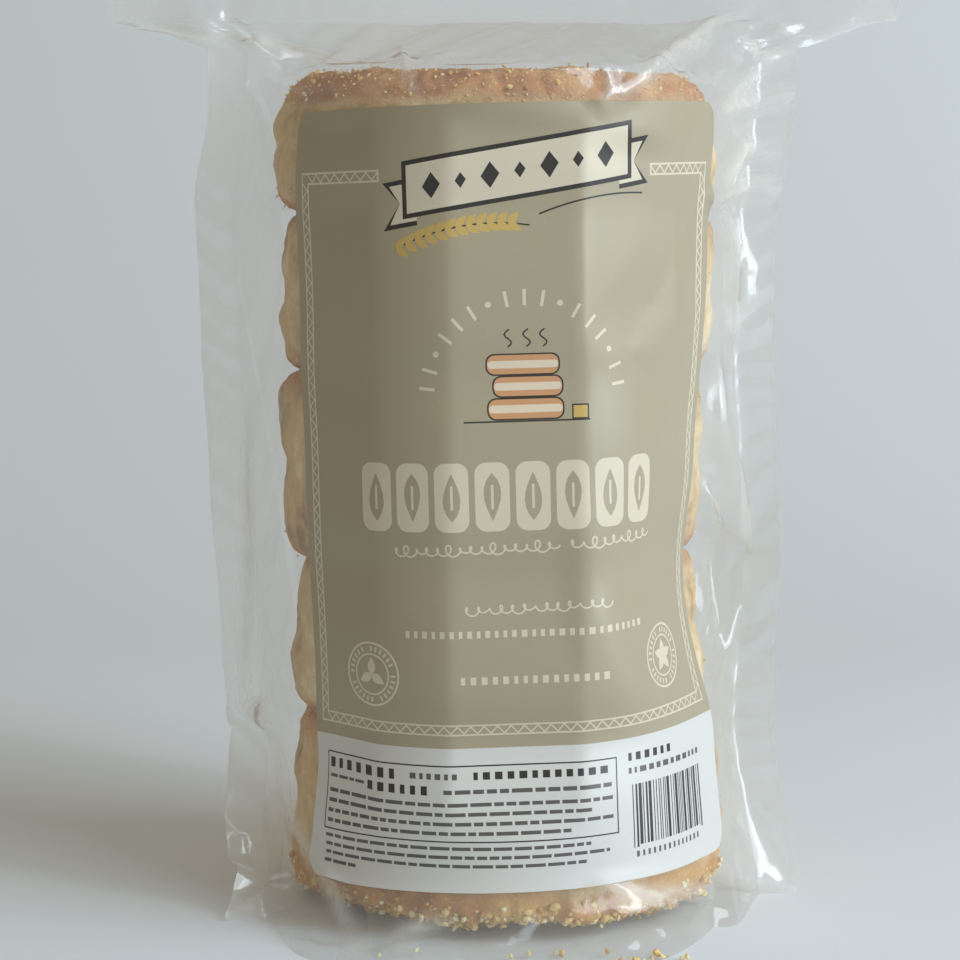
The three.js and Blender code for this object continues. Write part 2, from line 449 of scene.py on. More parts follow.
def weld_together(front, back):
    """Lays the back sheet against the front one wherever the two are welded or pressed flat."""
    back = back.copy()
    normals = sheet_normals(front)
    pressed = np.zeros(front.shape[:2], bool)
    pressed[:, :weld_columns + 1] = True
    pressed[:, -weld_columns - 1:] = True
    pressed[closure_row:, :] = True
    back[pressed] = (front - normals * 0.35)[pressed]
    for edge in (np.s_[:, 0], np.s_[:, -1], np.s_[-1, :]):
        back[edge] = front[edge]
    return back


def sheet_normals(sheet):
    """Each point's outward direction on a front sheet: towards the viewer."""
    across = np.gradient(sheet, axis=1)
    up = np.gradient(sheet, axis=0)
    normals = np.cross(across, up)
    return normals / np.linalg.norm(normals, axis=2, keepdims=True)


def both_faces(ids, back_ids, row, column):
    """The faces of the front and the back sheet in one square of the grid, each facing outward."""
    square = [(row, column), (row, column + 1), (row + 1, column + 1), (row + 1, column)]
    return [[ids[corner] for corner in square], [back_ids[square[k]] for k in (1, 0, 3, 2)]]


def film_mesh(name, front, back, marks):
    """One closed skin: the front sheet, the back sheet and the flat underside between them. Marks are
    values on the front sheet that the film's finish reads."""
    rows, columns = front.shape[:2]
    points = [tuple(p * MM) for p in front.reshape(-1, 3)]
    ids = np.arange(rows * columns).reshape(rows, columns)
    back_ids = np.full((rows, columns), -1)
    for row in range(rows):
        for column in range(columns):
            if column in (0, columns - 1) or row == rows - 1:
                back_ids[row, column] = ids[row, column]
            else:
                back_ids[row, column] = len(points)
                points.append(tuple(back[row, column] * MM))
    faces = []
    for row in range(rows - 1):
        for c in range(columns - 1):
            faces += both_faces(ids, back_ids, row, c)
    for c in range(columns - 1):
        corners = (ids[0, c], back_ids[0, c], back_ids[0, c + 1], ids[0, c + 1])
        faces.append(tuple(dict.fromkeys(int(i) for i in corners)))
    mesh = bpy.data.meshes.new(name)
    mesh.from_pydata(points, [], [tuple(int(i) for i in face) for face in faces])
    mesh.validate()
    welded = np.zeros((rows, columns))
    welded[:, :weld_columns + 1] = 1
    welded[:, -weld_columns - 1:] = 1
    for mark, values in {"weld": welded, **marks}.items():
        values = np.concatenate([values.ravel(), np.zeros(len(points) - rows * columns)])
        mesh.attributes.new(mark, "FLOAT", "POINT").data.foreach_set("value", values)
    piece = bpy.data.objects.new(name, mesh)
    scene.collection.objects.link(piece)
    return piece


def stack_form():
    """A plain stand-in for the muffins, for the film to lie against while it settles."""
    bm = bmesh.new()
    height = stack_bottom
    for radius, thickness, right, behind in muffin_sizes:
        rings = []
        for r, z in muffin_profile(radius, thickness)[1:-1:3]:
            place = Matrix.Translation(Vector((right, axis_y + behind, height + z)))
            rings.append(bmesh.ops.create_circle(bm, segments=72, radius=r, matrix=place)["verts"])
        for lower, upper in zip(rings, rings[1:]):
            for k in range(72):
                bm.faces.new((lower[k], lower[(k + 1) % 72], upper[(k + 1) % 72], upper[k]))
        bm.faces.new(rings[0][::-1])
        bm.faces.new(rings[-1])
        height += thickness
    for vertex in bm.verts:
        vertex.co = squeezed(vertex.co) * MM
    mesh = bpy.data.meshes.new("stack_form")
    bm.to_mesh(mesh)
    bm.free()
    form = bpy.data.objects.new("stack_form", mesh)
    scene.collection.objects.link(form)
    return form


def under_label(front):
    """How far each point of the front sheet is held flat by the label: 1 under it, 0 well beside it."""
    heights = np.array(film_heights)[:, None]
    beside = label_width / 2 + 11 - np.abs(front_lengths - label_across)
    above = label_height / 2 + 9 - np.abs(heights - label_middle)
    return smooth(beside / 8) * smooth(above / 8)


def spread_out(moves, times):
    """Evens out a grid of moves over their neighbours."""
    for _ in range(times):
        padded = np.pad(moves, ((1, 1), (0, 0), (0, 0)), mode="edge")
        moves = (padded[:-2] + 2 * moves + padded[2:]) / 4
        padded = np.pad(moves, ((0, 0), (1, 1), (0, 0)), mode="edge")
        moves = (padded[:, :-2] + 2 * moves + padded[:, 2:]) / 4
    return moves


def settle_film(front, back):
    """Lets both sheets buckle over the stack as stiff film does. Returns where their points end."""
    rows, columns = front.shape[:2]
    shared = np.zeros((rows, columns), bool)
    shared[:, :weld_columns + 1] = True
    shared[:, -weld_columns - 1:] = True
    shared[closure_row:, :] = True
    ids = np.arange(rows * columns).reshape(rows, columns)
    back_ids = ids.copy()
    free = ~shared
    back_ids[free] = rows * columns + np.arange(free.sum())
    points = np.concatenate([front.reshape(-1, 3), back[free]])
    for place in points:
        if place[2] > 4:
            stir = Vector((place[0], place[1], place[2] * 0.35)) / 14
            place += np.array(noise.noise_vector(stir)) * film_stir
    faces = []
    for row in range(rows - 1):
        for c in range(columns - 1):
            ahead, behind = both_faces(ids, back_ids, row, c)
            faces.append(ahead)
            if not shared[row:row + 2, c:c + 2].all():
                faces.append(behind)
    mesh = bpy.data.meshes.new("film_cloth")
    mesh.from_pydata([tuple(p) for p in points * MM], [], [tuple(int(i) for i in face) for face in faces])
    cloth = bpy.data.objects.new("film_cloth", mesh)
    scene.collection.objects.link(cloth)
    held = cloth.vertex_groups.new(name="held")
    pasted_points = [int(i) for i in ids[under_label(front) > 0.5]]
    held.add(pasted_points, label_hold, "REPLACE")
    held.add([int(i) for i in ids[:, 0]] + [int(i) for i in ids[:, -1]], edge_hold, "REPLACE")
    held.add([int(i) for i in ids[closure_row:, :].ravel()], flap_hold, "REPLACE")
    held.add([int(i) for i in np.flatnonzero(points[:, 2] < 2)], 1.0, "REPLACE")
    pasted = cloth.vertex_groups.new(name="pasted")
    pasted.add(pasted_points, 1.0, "REPLACE")
    form = stack_form()
    form.modifiers.new("collision", "COLLISION")
    form.collision.thickness_outer = 0.0006
    form.collision.cloth_friction = 15
    settle = cloth.modifiers.new("settle", "CLOTH")
    settings = settle.settings
    settings.quality = 6
    settings.mass = 0.05
    settings.air_damping = 4
    settings.tension_stiffness = 40
    settings.compression_stiffness = 40
    settings.shear_stiffness = 20
    settings.bending_stiffness = 4
    settings.bending_stiffness_max = 60
    settings.vertex_group_bending = "pasted"
    settings.vertex_group_mass = "held"
    settings.vertex_group_shrink = "pasted"
    settings.shrink_min = -film_spare
    settings.shrink_max = -film_spare / 4
    settings.effector_weights.gravity = 0
    settle.collision_settings.distance_min = 0.0006
    settle.collision_settings.use_self_collision = False
    settle.point_cache.frame_end = settling_frames
    scene.frame_end = settling_frames
    for step in range(1, settling_frames + 1):
        scene.frame_set(step)
    settled = cloth.evaluated_get(bpy.context.evaluated_depsgraph_get())
    ended = np.empty(len(points) * 3)
    settled.data.vertices.foreach_get("co", ended)
    ended = ended.reshape(-1, 3) / MM
    scene.frame_set(1)
    for helper in (cloth, form):
        bpy.data.objects.remove(helper)
    ended[:, 2] = np.maximum(ended[:, 2], 0)
    return ended[ids], ended[back_ids]


def sheet_point(sheet, rows, columns):
    """Points of a sheet at places between its rows and columns, along smooth curves."""
    def weights(t):
        before = -t ** 3 + 2 * t ** 2 - t
        at = 3 * t ** 3 - 5 * t ** 2 + 2
        after = -3 * t ** 3 + 4 * t ** 2 + t
        return np.stack([before, at, after, t ** 3 - t ** 2]) / 2

    row, column = np.floor(rows).astype(int), np.floor(columns).astype(int)
    by_row, by_column = weights(rows - row), weights(columns - column)
    total = 0
    for j in range(4):
        for k in range(4):
            r = np.clip(row + j - 1, 0, sheet.shape[0] - 1)
            c = np.clip(column + k - 1, 0, sheet.shape[1] - 1)
            total = total + (by_row[j] * by_column[k])[:, None] * sheet[r, c]
    return total


def halved(sheet):
    """The sheet with a new row and a new column halfway between each two."""
    rows = np.arange(0, sheet.shape[0] - 0.5, 0.5)
    columns = np.arange(0, sheet.shape[1] - 0.5, 0.5)
    grid = np.repeat(rows, len(columns)), np.tile(columns, len(rows))
    return sheet_point(sheet, *grid).reshape(len(rows), len(columns), -1)


def flatten(front, low, high, left, right):
    """Draws the film and its label straight between two lines, as stiff sheets do round a curve."""
    for row in front:
        inside = (row[:, 0] > left) & (row[:, 0] < right)
        z = row[inside, 2].mean()
        share = float(smooth((z - low) / 10) * smooth((high - z) / 6))
        ends = np.interp((left, right), row[:, 0], row[:, 1])
        chord = ends[0] + (ends[1] - ends[0]) * (row[inside, 0] - left) / (right - left)
        row[inside, 1] += share * (chord - row[inside, 1])


def crease(front, line, height, width):
    """Raises a sharp fold along a line of (x, z) points on the front sheet, or sinks one."""
    xs, zs = front[..., 0], front[..., 2]
    nearest = np.full(xs.shape, 1e9)
    gone = np.zeros(xs.shape)
    start = 0
    for (x0, z0), (x1, z1) in zip(line, line[1:]):
        length = math.hypot(x1 - x0, z1 - z0)
        t = np.clip(((xs - x0) * (x1 - x0) + (zs - z0) * (z1 - z0)) / length ** 2, 0, 1)
        away = np.hypot(xs - x0 - t * (x1 - x0), zs - z0 - t * (z1 - z0))
        gone = np.where(away < nearest, start + t * length, gone)
        nearest = np.minimum(nearest, away)
        start += length
    ridge = np.clip(1 - nearest / width, 0, 1) * np.sin(math.pi * np.clip(gone / start, 0.02, 0.98)) ** 0.35
    return front + sheet_normals(front) * (height * ridge)[..., None], ridge


# The flat parts of the label, as lowest and highest z and the x of both sides, and the film's sharp folds,
# as a line of (x, z) points, a height and a width
facets = [(20, 164, -40, -25.5), (20, 164, -11, 14.9), (116, 160, 14.9, 34)]
folds = [
    ([(39.7, 149.2), (32.2, 131.5), (23.7, 118.8), (31.9, 98.6)], -1.2, 9),
    ([(16, 84), (17.5, 66), (25, 45)], 0.9, 7),
    ([(-81.2, 183.5), (-49.1, 179), (-36.7, 175.5), (-27.3, 173.5), (-21.9, 172)], -1.0, 3),
    ([(-21, 175.5), (-17.4, 165.5)], 1.6, 1.6),
    ([(18.8, 164.4), (31.8, 173.5), (50, 186.5)], 2.6, 3.4),
    ([(16.5, 163.5), (19.5, 167), (18.8, 171)], 1.2, 1.5),
    ([(53.6, 183.5), (61.2, 179.5)], 1.4, 3),
    ([(47.9, 180.5), (53, 174.5), (61, 177)], 1.4, 3),
    ([(53, 174.5), (43.7, 164.4), (61, 169.5)], 1.6, 3),
    ([(42, 146.7), (48.3, 156.8), (55, 156.8)], 1.8, 3),
    ([(42, 146.7), (50.2, 149.2), (56.8, 149.2)], 1.6, 3),
    ([(42, 146.7), (46.9, 139.1), (49.6, 131.5), (49.5, 126.4), (47.4, 118.8)], 1.6, 3.5),
    ([(-53.4, 103.6), (-54.1, 63.1), (-56.1, 37.8)], 0.8, 2.6),
    ([(-56.1, 37.8), (-47.4, 35.3)], 1.6, 2.6),
    ([(-52.5, 40.5), (-50.5, 35.0)], 2.2, 3),
    ([(-47.4, 35.3), (-43.7, 20.1), (-29, 1.8)], 1.2, 3.5),
    ([(-11.1, 6.5), (-23.5, 3)], 1.2, 3),
    ([(18.3, 12), (30.8, 9), (43.9, 6.5)], 1.2, 3),
]
# Folds narrower than this get a milky mark along their ridges: partly crease whitening, partly painted
# highlight.
narrow_fold = 5
label_width = 101.6
label_height = 152.4
label_across = 3.7
label_middle = stack_bottom + 85
label_tilt = math.radians(1.45)
film_stir = 0.5
film_spare = 0.014
edge_hold = 0.5
label_hold = 0.12
label_give = 0.3
flap_hold = 0.4
settling_frames = 30
noise.seed_set(4)
settled_front, back_sheet = settle_film(front_sheet, back_sheet)
moves = settled_front - front_sheet
stuck = under_label(front_sheet)[:, :, None]
eased = spread_out(moves, 16) * (label_give, label_give, 0)
front_sheet = front_sheet + moves * (1 - stuck) + eased * stuck
front_sheet, back_sheet = halved(front_sheet), halved(back_sheet)
front_lengths = halved(front_lengths[:, :, None])[:, :, 0]
film_heights = halved(np.array(film_heights)[:, None, None])[:, 0, 0]
film_columns = 2 * film_columns - 1
weld_columns *= 2
closure_row *= 2
for facet in facets:
    flatten(front_sheet, *facet)
# Narrow folds carry a mark that the film's finish turns milky white along their ridges. It is partly the
# whitening of creased film and partly painted highlight streaks, which stay bright under any lamp.
crease_whitening_and_painted_glint = np.zeros(front_sheet.shape[:2])
for fold in folds:
    front_sheet, ridge = crease(front_sheet, *fold)
    if fold[2] < narrow_fold:
        crease_whitening_and_painted_glint = np.maximum(crease_whitening_and_painted_glint, ridge ** 2)
back_sheet = weld_together(front_sheet, back_sheet)
film = film_mesh("film_pouch", front_sheet, back_sheet, {"fold": crease_whitening_and_painted_glint})
make_active(film)
bpy.ops.object.shade_smooth_by_angle(angle=math.radians(75))


def film_finish():
    clear = Finish("clear_film")
    place = clear.coordinates()
    front_haze = clear.node("ShaderNodeBsdfDiffuse", "BSDF", {}, Color=(0.97, 0.975, 0.95), Roughness=0.5)
    back_haze = clear.node("ShaderNodeBsdfTranslucent", "BSDF", {}, Color=(0.97, 0.975, 0.95))
    haze = clear.node("ShaderNodeMixShader", "Shader", {}, 0.45, front_haze, back_haze)
    open_film = clear.node("ShaderNodeBsdfTransparent", "BSDF", {}, Color=(0.995, 0.995, 0.99))
    crinkle = clear.noise(place, 60, 3, 0.55)
    fine = clear.bump(crinkle, 0.0012, 0.5)
    gloss = clear.node("ShaderNodeBsdfGlossy", "BSDF", {}, Color=(1, 1, 1), Roughness=0.13, Normal=fine)
    haze_with_painted_glint = 0.1 + 0.1 * clear.attribute("weld") + 0.08 * clear.noise(place, 14, 2)
    # Along narrow folds the haze rises steeply: crease whitening, and painted highlight streaks.
    haze_with_painted_glint = haze_with_painted_glint + 0.55 * clear.attribute("fold")
    haze_and_painted_glint_shader = clear.node("ShaderNodeMixShader", "Shader", {}, haze_with_painted_glint, open_film, haze)
    facing = clear.node("ShaderNodeLayerWeight", "Facing", {}, Blend=0.5, Normal=fine)
    mirror = 0.06 + 0.6 * facing.power(5)
    return clear.surface(clear.node("ShaderNodeMixShader", "Shader", {}, mirror, haze_and_painted_glint_shader, gloss))


def film_reaches():
    """How far the film stands from the stack's axis, and at what height, by row and by half degrees."""
    ring = np.concatenate([front_sheet, back_sheet[:, ::-1]], axis=1)
    turns = np.degrees(np.arctan2(ring[..., 1] - axis_y, ring[..., 0]))
    far = np.hypot(ring[..., 0], ring[..., 1] - axis_y)
    half_degrees = np.arange(-360, 360) / 2
    reach = [np.interp(half_degrees, turns[row], far[row], period=360) for row in range(len(ring))]
    height = [np.interp(half_degrees, turns[row], ring[row, :, 2], period=360) for row in range(len(ring))]
    return np.array(reach), np.array(height)


def pressed(places, gap):
    """Places in the pouch, moved in to where the film leaves a gap over them."""
    places = places.copy()
    behind = places[:, 1] - axis_y
    far = np.hypot(places[:, 0], behind)
    slots = np.round(np.degrees(np.arctan2(behind, places[:, 0])) * 2).astype(int) + 360
    slots %= 720
    allowed = np.empty(len(far))
    for slot in range(720):
        here = slots == slot
        allowed[here] = np.interp(places[here, 2], film_height[:, slot], film_reach[:, slot])
    share = np.minimum(1, (allowed - gap) / np.maximum(far, 1))
    places[:, 0] *= share
    places[:, 1] = axis_y + behind * share
    return places


def mesh_places(piece):
    places = np.empty(len(piece.data.vertices) * 3)
    piece.data.vertices.foreach_get("co", places)
    return places.reshape(-1, 3) / MM


film_reach, film_height = film_reaches()
for muffin in muffins:
    muffin.data.vertices.foreach_set("co", (pressed(mesh_places(muffin), 0.5) * MM).ravel())
    muffin.data.update()
film.data.materials.append(film_finish())
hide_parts("pouch")
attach(film, "root")
for muffin in muffins:
    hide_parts("pouch")
    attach(muffin, "root")


# Cornmeal clings to the griddled faces and their rims in coarse, golden grains, and some of it lies loose
# in the foot of the pouch with crumbs of crust. Each grain is a chipped pebble with a few faces.
def make_grains(name, places, sizes):
    """One mesh of grains, each turned and stretched its own way. Places and sizes are in millimetres."""
    deselect_all()
    bpy.ops.mesh.primitive_ico_sphere_add(subdivisions=1, radius=1)
    pattern = bpy.context.object
    pebble = np.array([tuple(vertex.co) for vertex in pattern.data.vertices])
    sides = np.array([tuple(face.vertices) for face in pattern.data.polygons])
    bpy.ops.object.delete()
    count = len(places)
    chips = pebble * (1 + chance.uniform(-0.28, 0.2, (count, len(pebble), 1)))
    chips *= chance.uniform((0.8, 0.65, 0.5), (1.25, 1.0, 0.85), (count, 3))[:, None, :]
    turns, _ = np.linalg.qr(chance.normal(size=(count, 3, 3)))
    turns *= np.sign(np.linalg.det(turns))[:, None, None]
    corners = np.einsum("nij,nkj->nki", turns, chips) * sizes[:, None, None] / 2 + places[:, None, :]
    faces = (sides[None] + np.arange(count)[:, None, None] * len(pebble)).reshape(-1, 3)
    mesh = bpy.data.meshes.new(name)
    mesh.from_pydata([tuple(p) for p in corners.reshape(-1, 3) * MM], [], [tuple(f) for f in faces])
    tone = mesh.attributes.new("tone", "FLOAT", "POINT")
    tone.data.foreach_set("value", np.repeat(chance.random(count), len(pebble)))
    grains = bpy.data.objects.new(name, mesh)
    scene.collection.objects.link(grains)
    return grains


def grain_places(muffin, low, high, nearest, count):
    """Random points on a muffin's skin between two heights, at least so far from its middle."""
    places = mesh_places(muffin)
    far = np.hypot(places[:, 0], places[:, 1] - axis_y)
    fits = np.flatnonzero((places[:, 2] > low) & (places[:, 2] < high) & (far > nearest))
    picked = places[chance.choice(fits, count, p=far[fits] / far[fits].sum())]
    return picked + chance.normal(0, 0.35, picked.shape)


def grain_finish():
    meal = Finish("cornmeal")
    tone = meal.attribute("tone")
    colour = meal.ramp(
        tone, (0.0, srgb(202, 150, 92)), (0.3, srgb(226, 186, 116)), (0.65, srgb(240, 214, 138)),
        (1.0, srgb(246, 234, 200)),
    )
    chipped = meal.bump(meal.noise(meal.coordinates(), 2500, 3), 0.0002, 0.8)
    return meal.surface(meal.node(
        "ShaderNodeBsdfPrincipled", "BSDF", {}, Base_Color=colour, Roughness=0.62, Normal=chipped,
        Subsurface_Weight=0.2, Subsurface_Radius=(0.001, 0.0007, 0.0004), Subsurface_Scale=1.0,
    ))


chance = np.random.default_rng(11)
meal = grain_finish()
seam = stack_bottom
clinging = []
grain_sizes = []


def cling(muffin, low, high, nearest, count, smallest, largest):
    """Adds grains of a range of sizes to a muffin's skin between two heights."""
    clinging.append(grain_places(muffin, low, high, nearest, count))
    grain_sizes.append(smallest + (largest - smallest) * chance.random(count) ** 2)


for number, muffin in enumerate(muffins):
    top = seam + muffin_sizes[number][1]
    cling(muffin, seam - 1, seam + 4, 38, 1500 if number == 0 else 120, 0.4, 1.1)
    cling(muffin, top - 6, top + 2, 35, 1300 if number == 4 else 120, 0.3, 0.8)
    cling(muffin, seam, top, 42, 60, 0.4, 0.9)
    seam = top
cling(muffins[0], stack_bottom - 1, stack_bottom + 6, 40, 420, 1.2, 2.6)
cling(muffins[-1], stack_top - 5, stack_top + 2, 38, 70, 1.0, 2.2)
cling(muffins[-1], stack_top - 2, stack_top + 2, 0, 500, 0.4, 1.4)
clinging = pressed(np.concatenate(clinging), 0.9)
on_muffins = make_grains("cornmeal_grains", clinging, np.concatenate(grain_sizes))
spots = chance.normal((27, -52), (8, 2), (16, 2))
spots = np.concatenate([spots, chance.uniform((-30, -56), (36, -49), (9, 2))])
crumb_sizes = 0.5 + 1.5 * chance.random(len(spots)) ** 1.4
loose = np.column_stack([spots[:, 0], spots[:, 1] + axis_y, 0.1 + crumb_sizes * 0.6])
in_the_foot = make_grains("loose_crumbs", loose, crumb_sizes)
for grains in (on_muffins, in_the_foot):
    grains.data.materials.append(meal)
    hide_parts("pouch")
    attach(grains, "root")


# The label is coated paper stuck to the front of the film: a sage field over a white panel, printed with
# plain shapes. Its flat sheet is cut along the edges of every printed shape, so that each ink is a part of
# the sheet, and the sheet is then bent over the film.
class Print:
    """The label's shapes in the order of printing. Places are millimetres to the right of its middle line
    and down from its top edge."""

    def __init__(self):
        self.shapes = []

    def shape(self, ink, points):
        """Adds an outline, with points at least every 1.6 mm so that it can follow the bend."""
        outline = []
        for (x0, y0), (x1, y1) in zip(points, points[1:] + points[:1]):
            steps = math.ceil(math.hypot(x1 - x0, y1 - y0) / 1.6)
            outline += [(x0 + (x1 - x0) * k / steps, y0 + (y1 - y0) * k / steps) for k in range(steps)]
        turns = sum(x0 * y1 - x1 * y0 for (x0, y0), (x1, y1) in zip(outline, outline[1:] + outline[:1]))
        self.shapes.append((ink, outline if turns < 0 else outline[::-1]))

    def bar(self, ink, left, top, right, bottom):
        self.shape(ink, [(left, top), (right, top), (right, bottom), (left, bottom)])

    def rounded(self, ink, left, top, right, bottom, corner, steps=5):
        points = []
        middles = [
            (right - corner, top + corner, -90), (right - corner, bottom - corner, 0),
            (left + corner, bottom - corner, 90), (left + corner, top + corner, 180),
        ]
        for x, y, start in middles:
            for k in range(steps + 1):
                turn = math.radians(start + 90 * k / steps)
                points.append((x + corner * math.cos(turn), y + corner * math.sin(turn)))
        self.shape(ink, points)

    def disc(self, ink, x, y, radius, steps=32):
        turns = [math.tau * k / steps for k in range(steps)]
        self.shape(ink, [(x + radius * math.cos(a), y + radius * math.sin(a)) for a in turns])

    def ring(self, ink, ground, x, y, radius, width):
        self.disc(ink, x, y, radius)
        self.disc(ground, x, y, radius - width)

    def leaf(self, ink, x, y, length, width, turn, steps=7):
        """A leaf shape that starts at a point and runs out at an angle in degrees."""
        along = [k / steps for k in range(steps + 1)]
        edge = [(t * length, width / 2 * math.sin(math.pi * t ** 0.8)) for t in along]
        outline = edge + [(u, -v) for u, v in edge[-2:0:-1]]
        c, d = math.cos(math.radians(turn)), math.sin(math.radians(turn))
        self.shape(ink, [(x + u * c - v * d, y + u * d + v * c) for u, v in outline])

    def line(self, ink, points, width):
        for (x0, y0), (x1, y1) in zip(points, points[1:]):
            length = math.hypot(x1 - x0, y1 - y0)
            u, v = (x1 - x0) / length * width / 2, (y1 - y0) / length * width / 2
            self.shape(ink, [
                (x0 - u * 0.6 - v, y0 - v * 0.6 + u), (x1 + u * 0.6 - v, y1 + v * 0.6 + u),
                (x1 + u * 0.6 + v, y1 + v * 0.6 - u), (x0 - u * 0.6 + v, y0 - v * 0.6 - u),
            ])

    def small_print(self, ink, left, right, top, height, word=(2.0, 6.0)):
        """A row of bars as long as words, in the place of small print."""
        x = left
        while x < right - height:
            length = min(right - x, height * random.uniform(*word))
            self.bar(ink, x, top, x + length, top + height)
            x += length + height * 0.7

    def scribble(self, ink, left, right, middle, height, loops, width):
        """A wavy stroke in the place of a line of handwriting."""
        steps = loops * 12
        points = []
        for k in range(steps + 1):
            turn = math.tau * loops * k / steps
            swell = 0.62 + 0.38 * math.sin(turn * 0.37 + left) * math.sin(turn * 0.13)
            x = left + (right - left) * k / steps + 0.42 * height * math.cos(turn) * swell
            slant = 0.1 * (x - left) * height / 10
            points.append((x, middle - height / 2 * swell * math.sin(turn) - slant))
        self.line(ink, points, width)


SAGE, CREAM, WHITE, DARK, GREY, GOLD, TAN, OAT = range(8)


def print_label():
    """All that is printed on the label, as plain shapes."""
    sheet = Print()
    half = label_width / 2
    sheet.rounded(SAGE, -half, 0, half, label_height, 4, 8)
    panel_top = 124.6
    turns = [math.radians(90 * k / 8) for k in range(9)]
    low = label_height - 4
    right_corner = [(half - 4 + 4 * math.cos(a), low + 4 * math.sin(a)) for a in turns]
    left_corner = [(-x, y) for x, y in right_corner[::-1]]
    sheet.shape(WHITE, [(-half, panel_top), (half, panel_top)] + right_corner + left_corner)
    zigzag_border(sheet, 48.1, 12.0, 121.8, 2.0, (-27.5, 28.3))
    banner(sheet)
    arc_of_marks(sheet, 0.7, 56, 19.3)
    stack_picture(sheet, 0.6, 60.5)
    row_of_tiles(sheet)
    sheet.scribble(CREAM, -26.5, 6.0, 85.6, 2.6, 15, 0.34)
    sheet.scribble(CREAM, 8.5, 28.5, 84.6, 2.6, 9, 0.34)
    sheet.scribble(CREAM, -12.5, 16.5, 97.2, 2.2, 13, 0.3)
    sheet.small_print(CREAM, -24.5, 26.8, 101.0, 1.35, (0.5, 0.9))
    sheet.small_print(CREAM, -13.5, 16.8, 110.0, 1.5, (0.5, 0.9))
    badge(sheet, -32.7, 110.2, 6.5, 3)
    badge(sheet, 33.8, 109.8, 6.5, 5)
    white_panel(sheet)
    return sheet.shapes


def zigzag_border(sheet, side, top, bottom, width, gap):
    """A double line round the sage field with a zigzag in it, open over the ribbon."""
    stroke = 0.38
    inner = side - width
    runs = [
        [(gap[0], top), (-side, top), (-side, bottom), (side, bottom), (side, top), (gap[1], top)],
        [(gap[0], top + width), (-inner, top + width), (-inner, bottom - width),
         (inner, bottom - width), (inner, top + width), (gap[1], top + width)],
    ]
    for run in runs:
        sheet.line(CREAM, run, stroke)
    for x in gap:
        sheet.line(CREAM, [(x, top), (x, top + width)], stroke)
    pitch = 2.6

    def zigzag(x0, y0, x1, y1, turn):
        count = max(1, round(math.hypot(x1 - x0, y1 - y0) / pitch)) * 2
        points = []
        for k in range(count + 1):
            swing = (width / 2 - 0.25) * (1 if k % 2 else -1)
            points.append((
                x0 + (x1 - x0) * k / count + swing * turn[0],
                y0 + (y1 - y0) * k / count + swing * turn[1],
            ))
        sheet.line(CREAM, points, 0.3)

    middle = side - width / 2
    zigzag(-middle, top + width, -middle, bottom - width, (1, 0))
    zigzag(middle, top + width, middle, bottom - width, (1, 0))
    zigzag(-inner, bottom - width / 2, inner, bottom - width / 2, (0, 1))
    zigzag(-inner, top + width / 2, gap[0], top + width / 2, (0, 1))
    zigzag(gap[1], top + width / 2, inner, top + width / 2, (0, 1))


def banner(sheet):
    """A plain ribbon with a row of lozenges, over a branch of gold leaves."""
    rise = -0.15

    def slanted(points):
        return [(x, y + rise * x) for x, y in points]

    left, right, middle, deep = -21.5, 22.5, 12.6, 4.6
    for edge, ink in ((0.9, DARK), (0, CREAM)):
        for side, x in ((-1, left), (1, right)):
            hidden, tip = x - side * 2, x + side * (3.6 + edge * 1.6)
            above, below = middle - deep + 3.4 - edge, middle + deep + 1.6 + edge
            notch = (x + side * 1.4, middle + 2.4)
            tail = [(hidden, above), (tip, above), notch, (tip, below), (hidden, below)]
            sheet.shape(ink, slanted(tail))
    for edge, ink in ((0.9, DARK), (0, CREAM)):
        sheet.shape(ink, slanted([
            (left - edge, middle - deep - edge), (right + edge, middle - deep - edge),
            (right + edge, middle + deep + edge), (left - edge, middle + deep + edge),
        ]))
    for k in range(7):
        x = left + 5 + (right - left - 10) * k / 6
        size = 2.5 if k % 2 == 0 else 1.5
        side = size * 0.72
        lozenge = [(x - side, middle), (x, middle - size), (x + side, middle), (x, middle + size)]
        sheet.shape(DARK, slanted(lozenge))
    stem = [(x, 23.4 + rise * x - 0.012 * (x + 24) * (2 - x)) for x in range(-24, 3, 2)]
    sheet.line(DARK, stem, 0.3)
    for k, (x, y) in enumerate(stem[:-2]):
        for side in (-1, 1):
            sheet.leaf(GOLD, x, y, 3.0, 1.5, -8 + side * 38)
    sheet.line(DARK, [(x, 21.6 + rise * x - 0.01 * (x - 4) * (27 - x)) for x in range(4, 28, 2)], 0.34)


def arc_of_marks(sheet, x, y, radius):
    """Short strokes on an arc, with a dot in the place of every fourth."""
    count = 17
    half_length = 1.35
    for k in range(count):
        turn = math.radians(186 + 168 * k / (count - 1))
        u, v = math.cos(turn), math.sin(turn)
        if k % 4 == 2:
            sheet.disc(CREAM, x + radius * u, y + radius * v, 0.6, 12)
        else:
            ends = (radius - half_length, radius + half_length)
            sheet.line(CREAM, [(x + u * r, y + v * r) for r in ends], 0.62)


def stack_picture(sheet, x, bottom):
    """Three plain rounds on a line, with steam over them and a gold pat beside them."""
    sheet.line(DARK, [(x - 12, bottom), (x + 12.5, bottom)], 0.32)
    for k, (half, shift) in enumerate(((7.2, 0), (6.6, 0.5), (6.9, -0.4))):
        low = bottom - 0.2 - 4.3 * k
        sheet.rounded(DARK, x + shift - half - 0.3, low - 4.3, x + shift + half + 0.3, low, 1.7)
        sheet.rounded(TAN, x + shift - half, low - 4.0, x + shift + half, low - 0.3, 1.5)
        sheet.rounded(OAT, x + shift - half + 0.1, low - 2.9, x + shift + half - 0.1, low - 1.4, 0.6, 2)
    for side in (-3.2, 0.4, 3.6):
        wave = [(x + side + 0.7 * math.sin(t * 2.2), bottom - 14.4 - t * 1.1) for t in np.linspace(0, 3, 8)]
        sheet.line(DARK, wave, 0.3)
    sheet.bar(DARK, x + 9.0, bottom - 3.0, x + 12.4, bottom - 0.1)
    sheet.bar(GOLD, x + 9.3, bottom - 2.7, x + 12.1, bottom - 0.4)


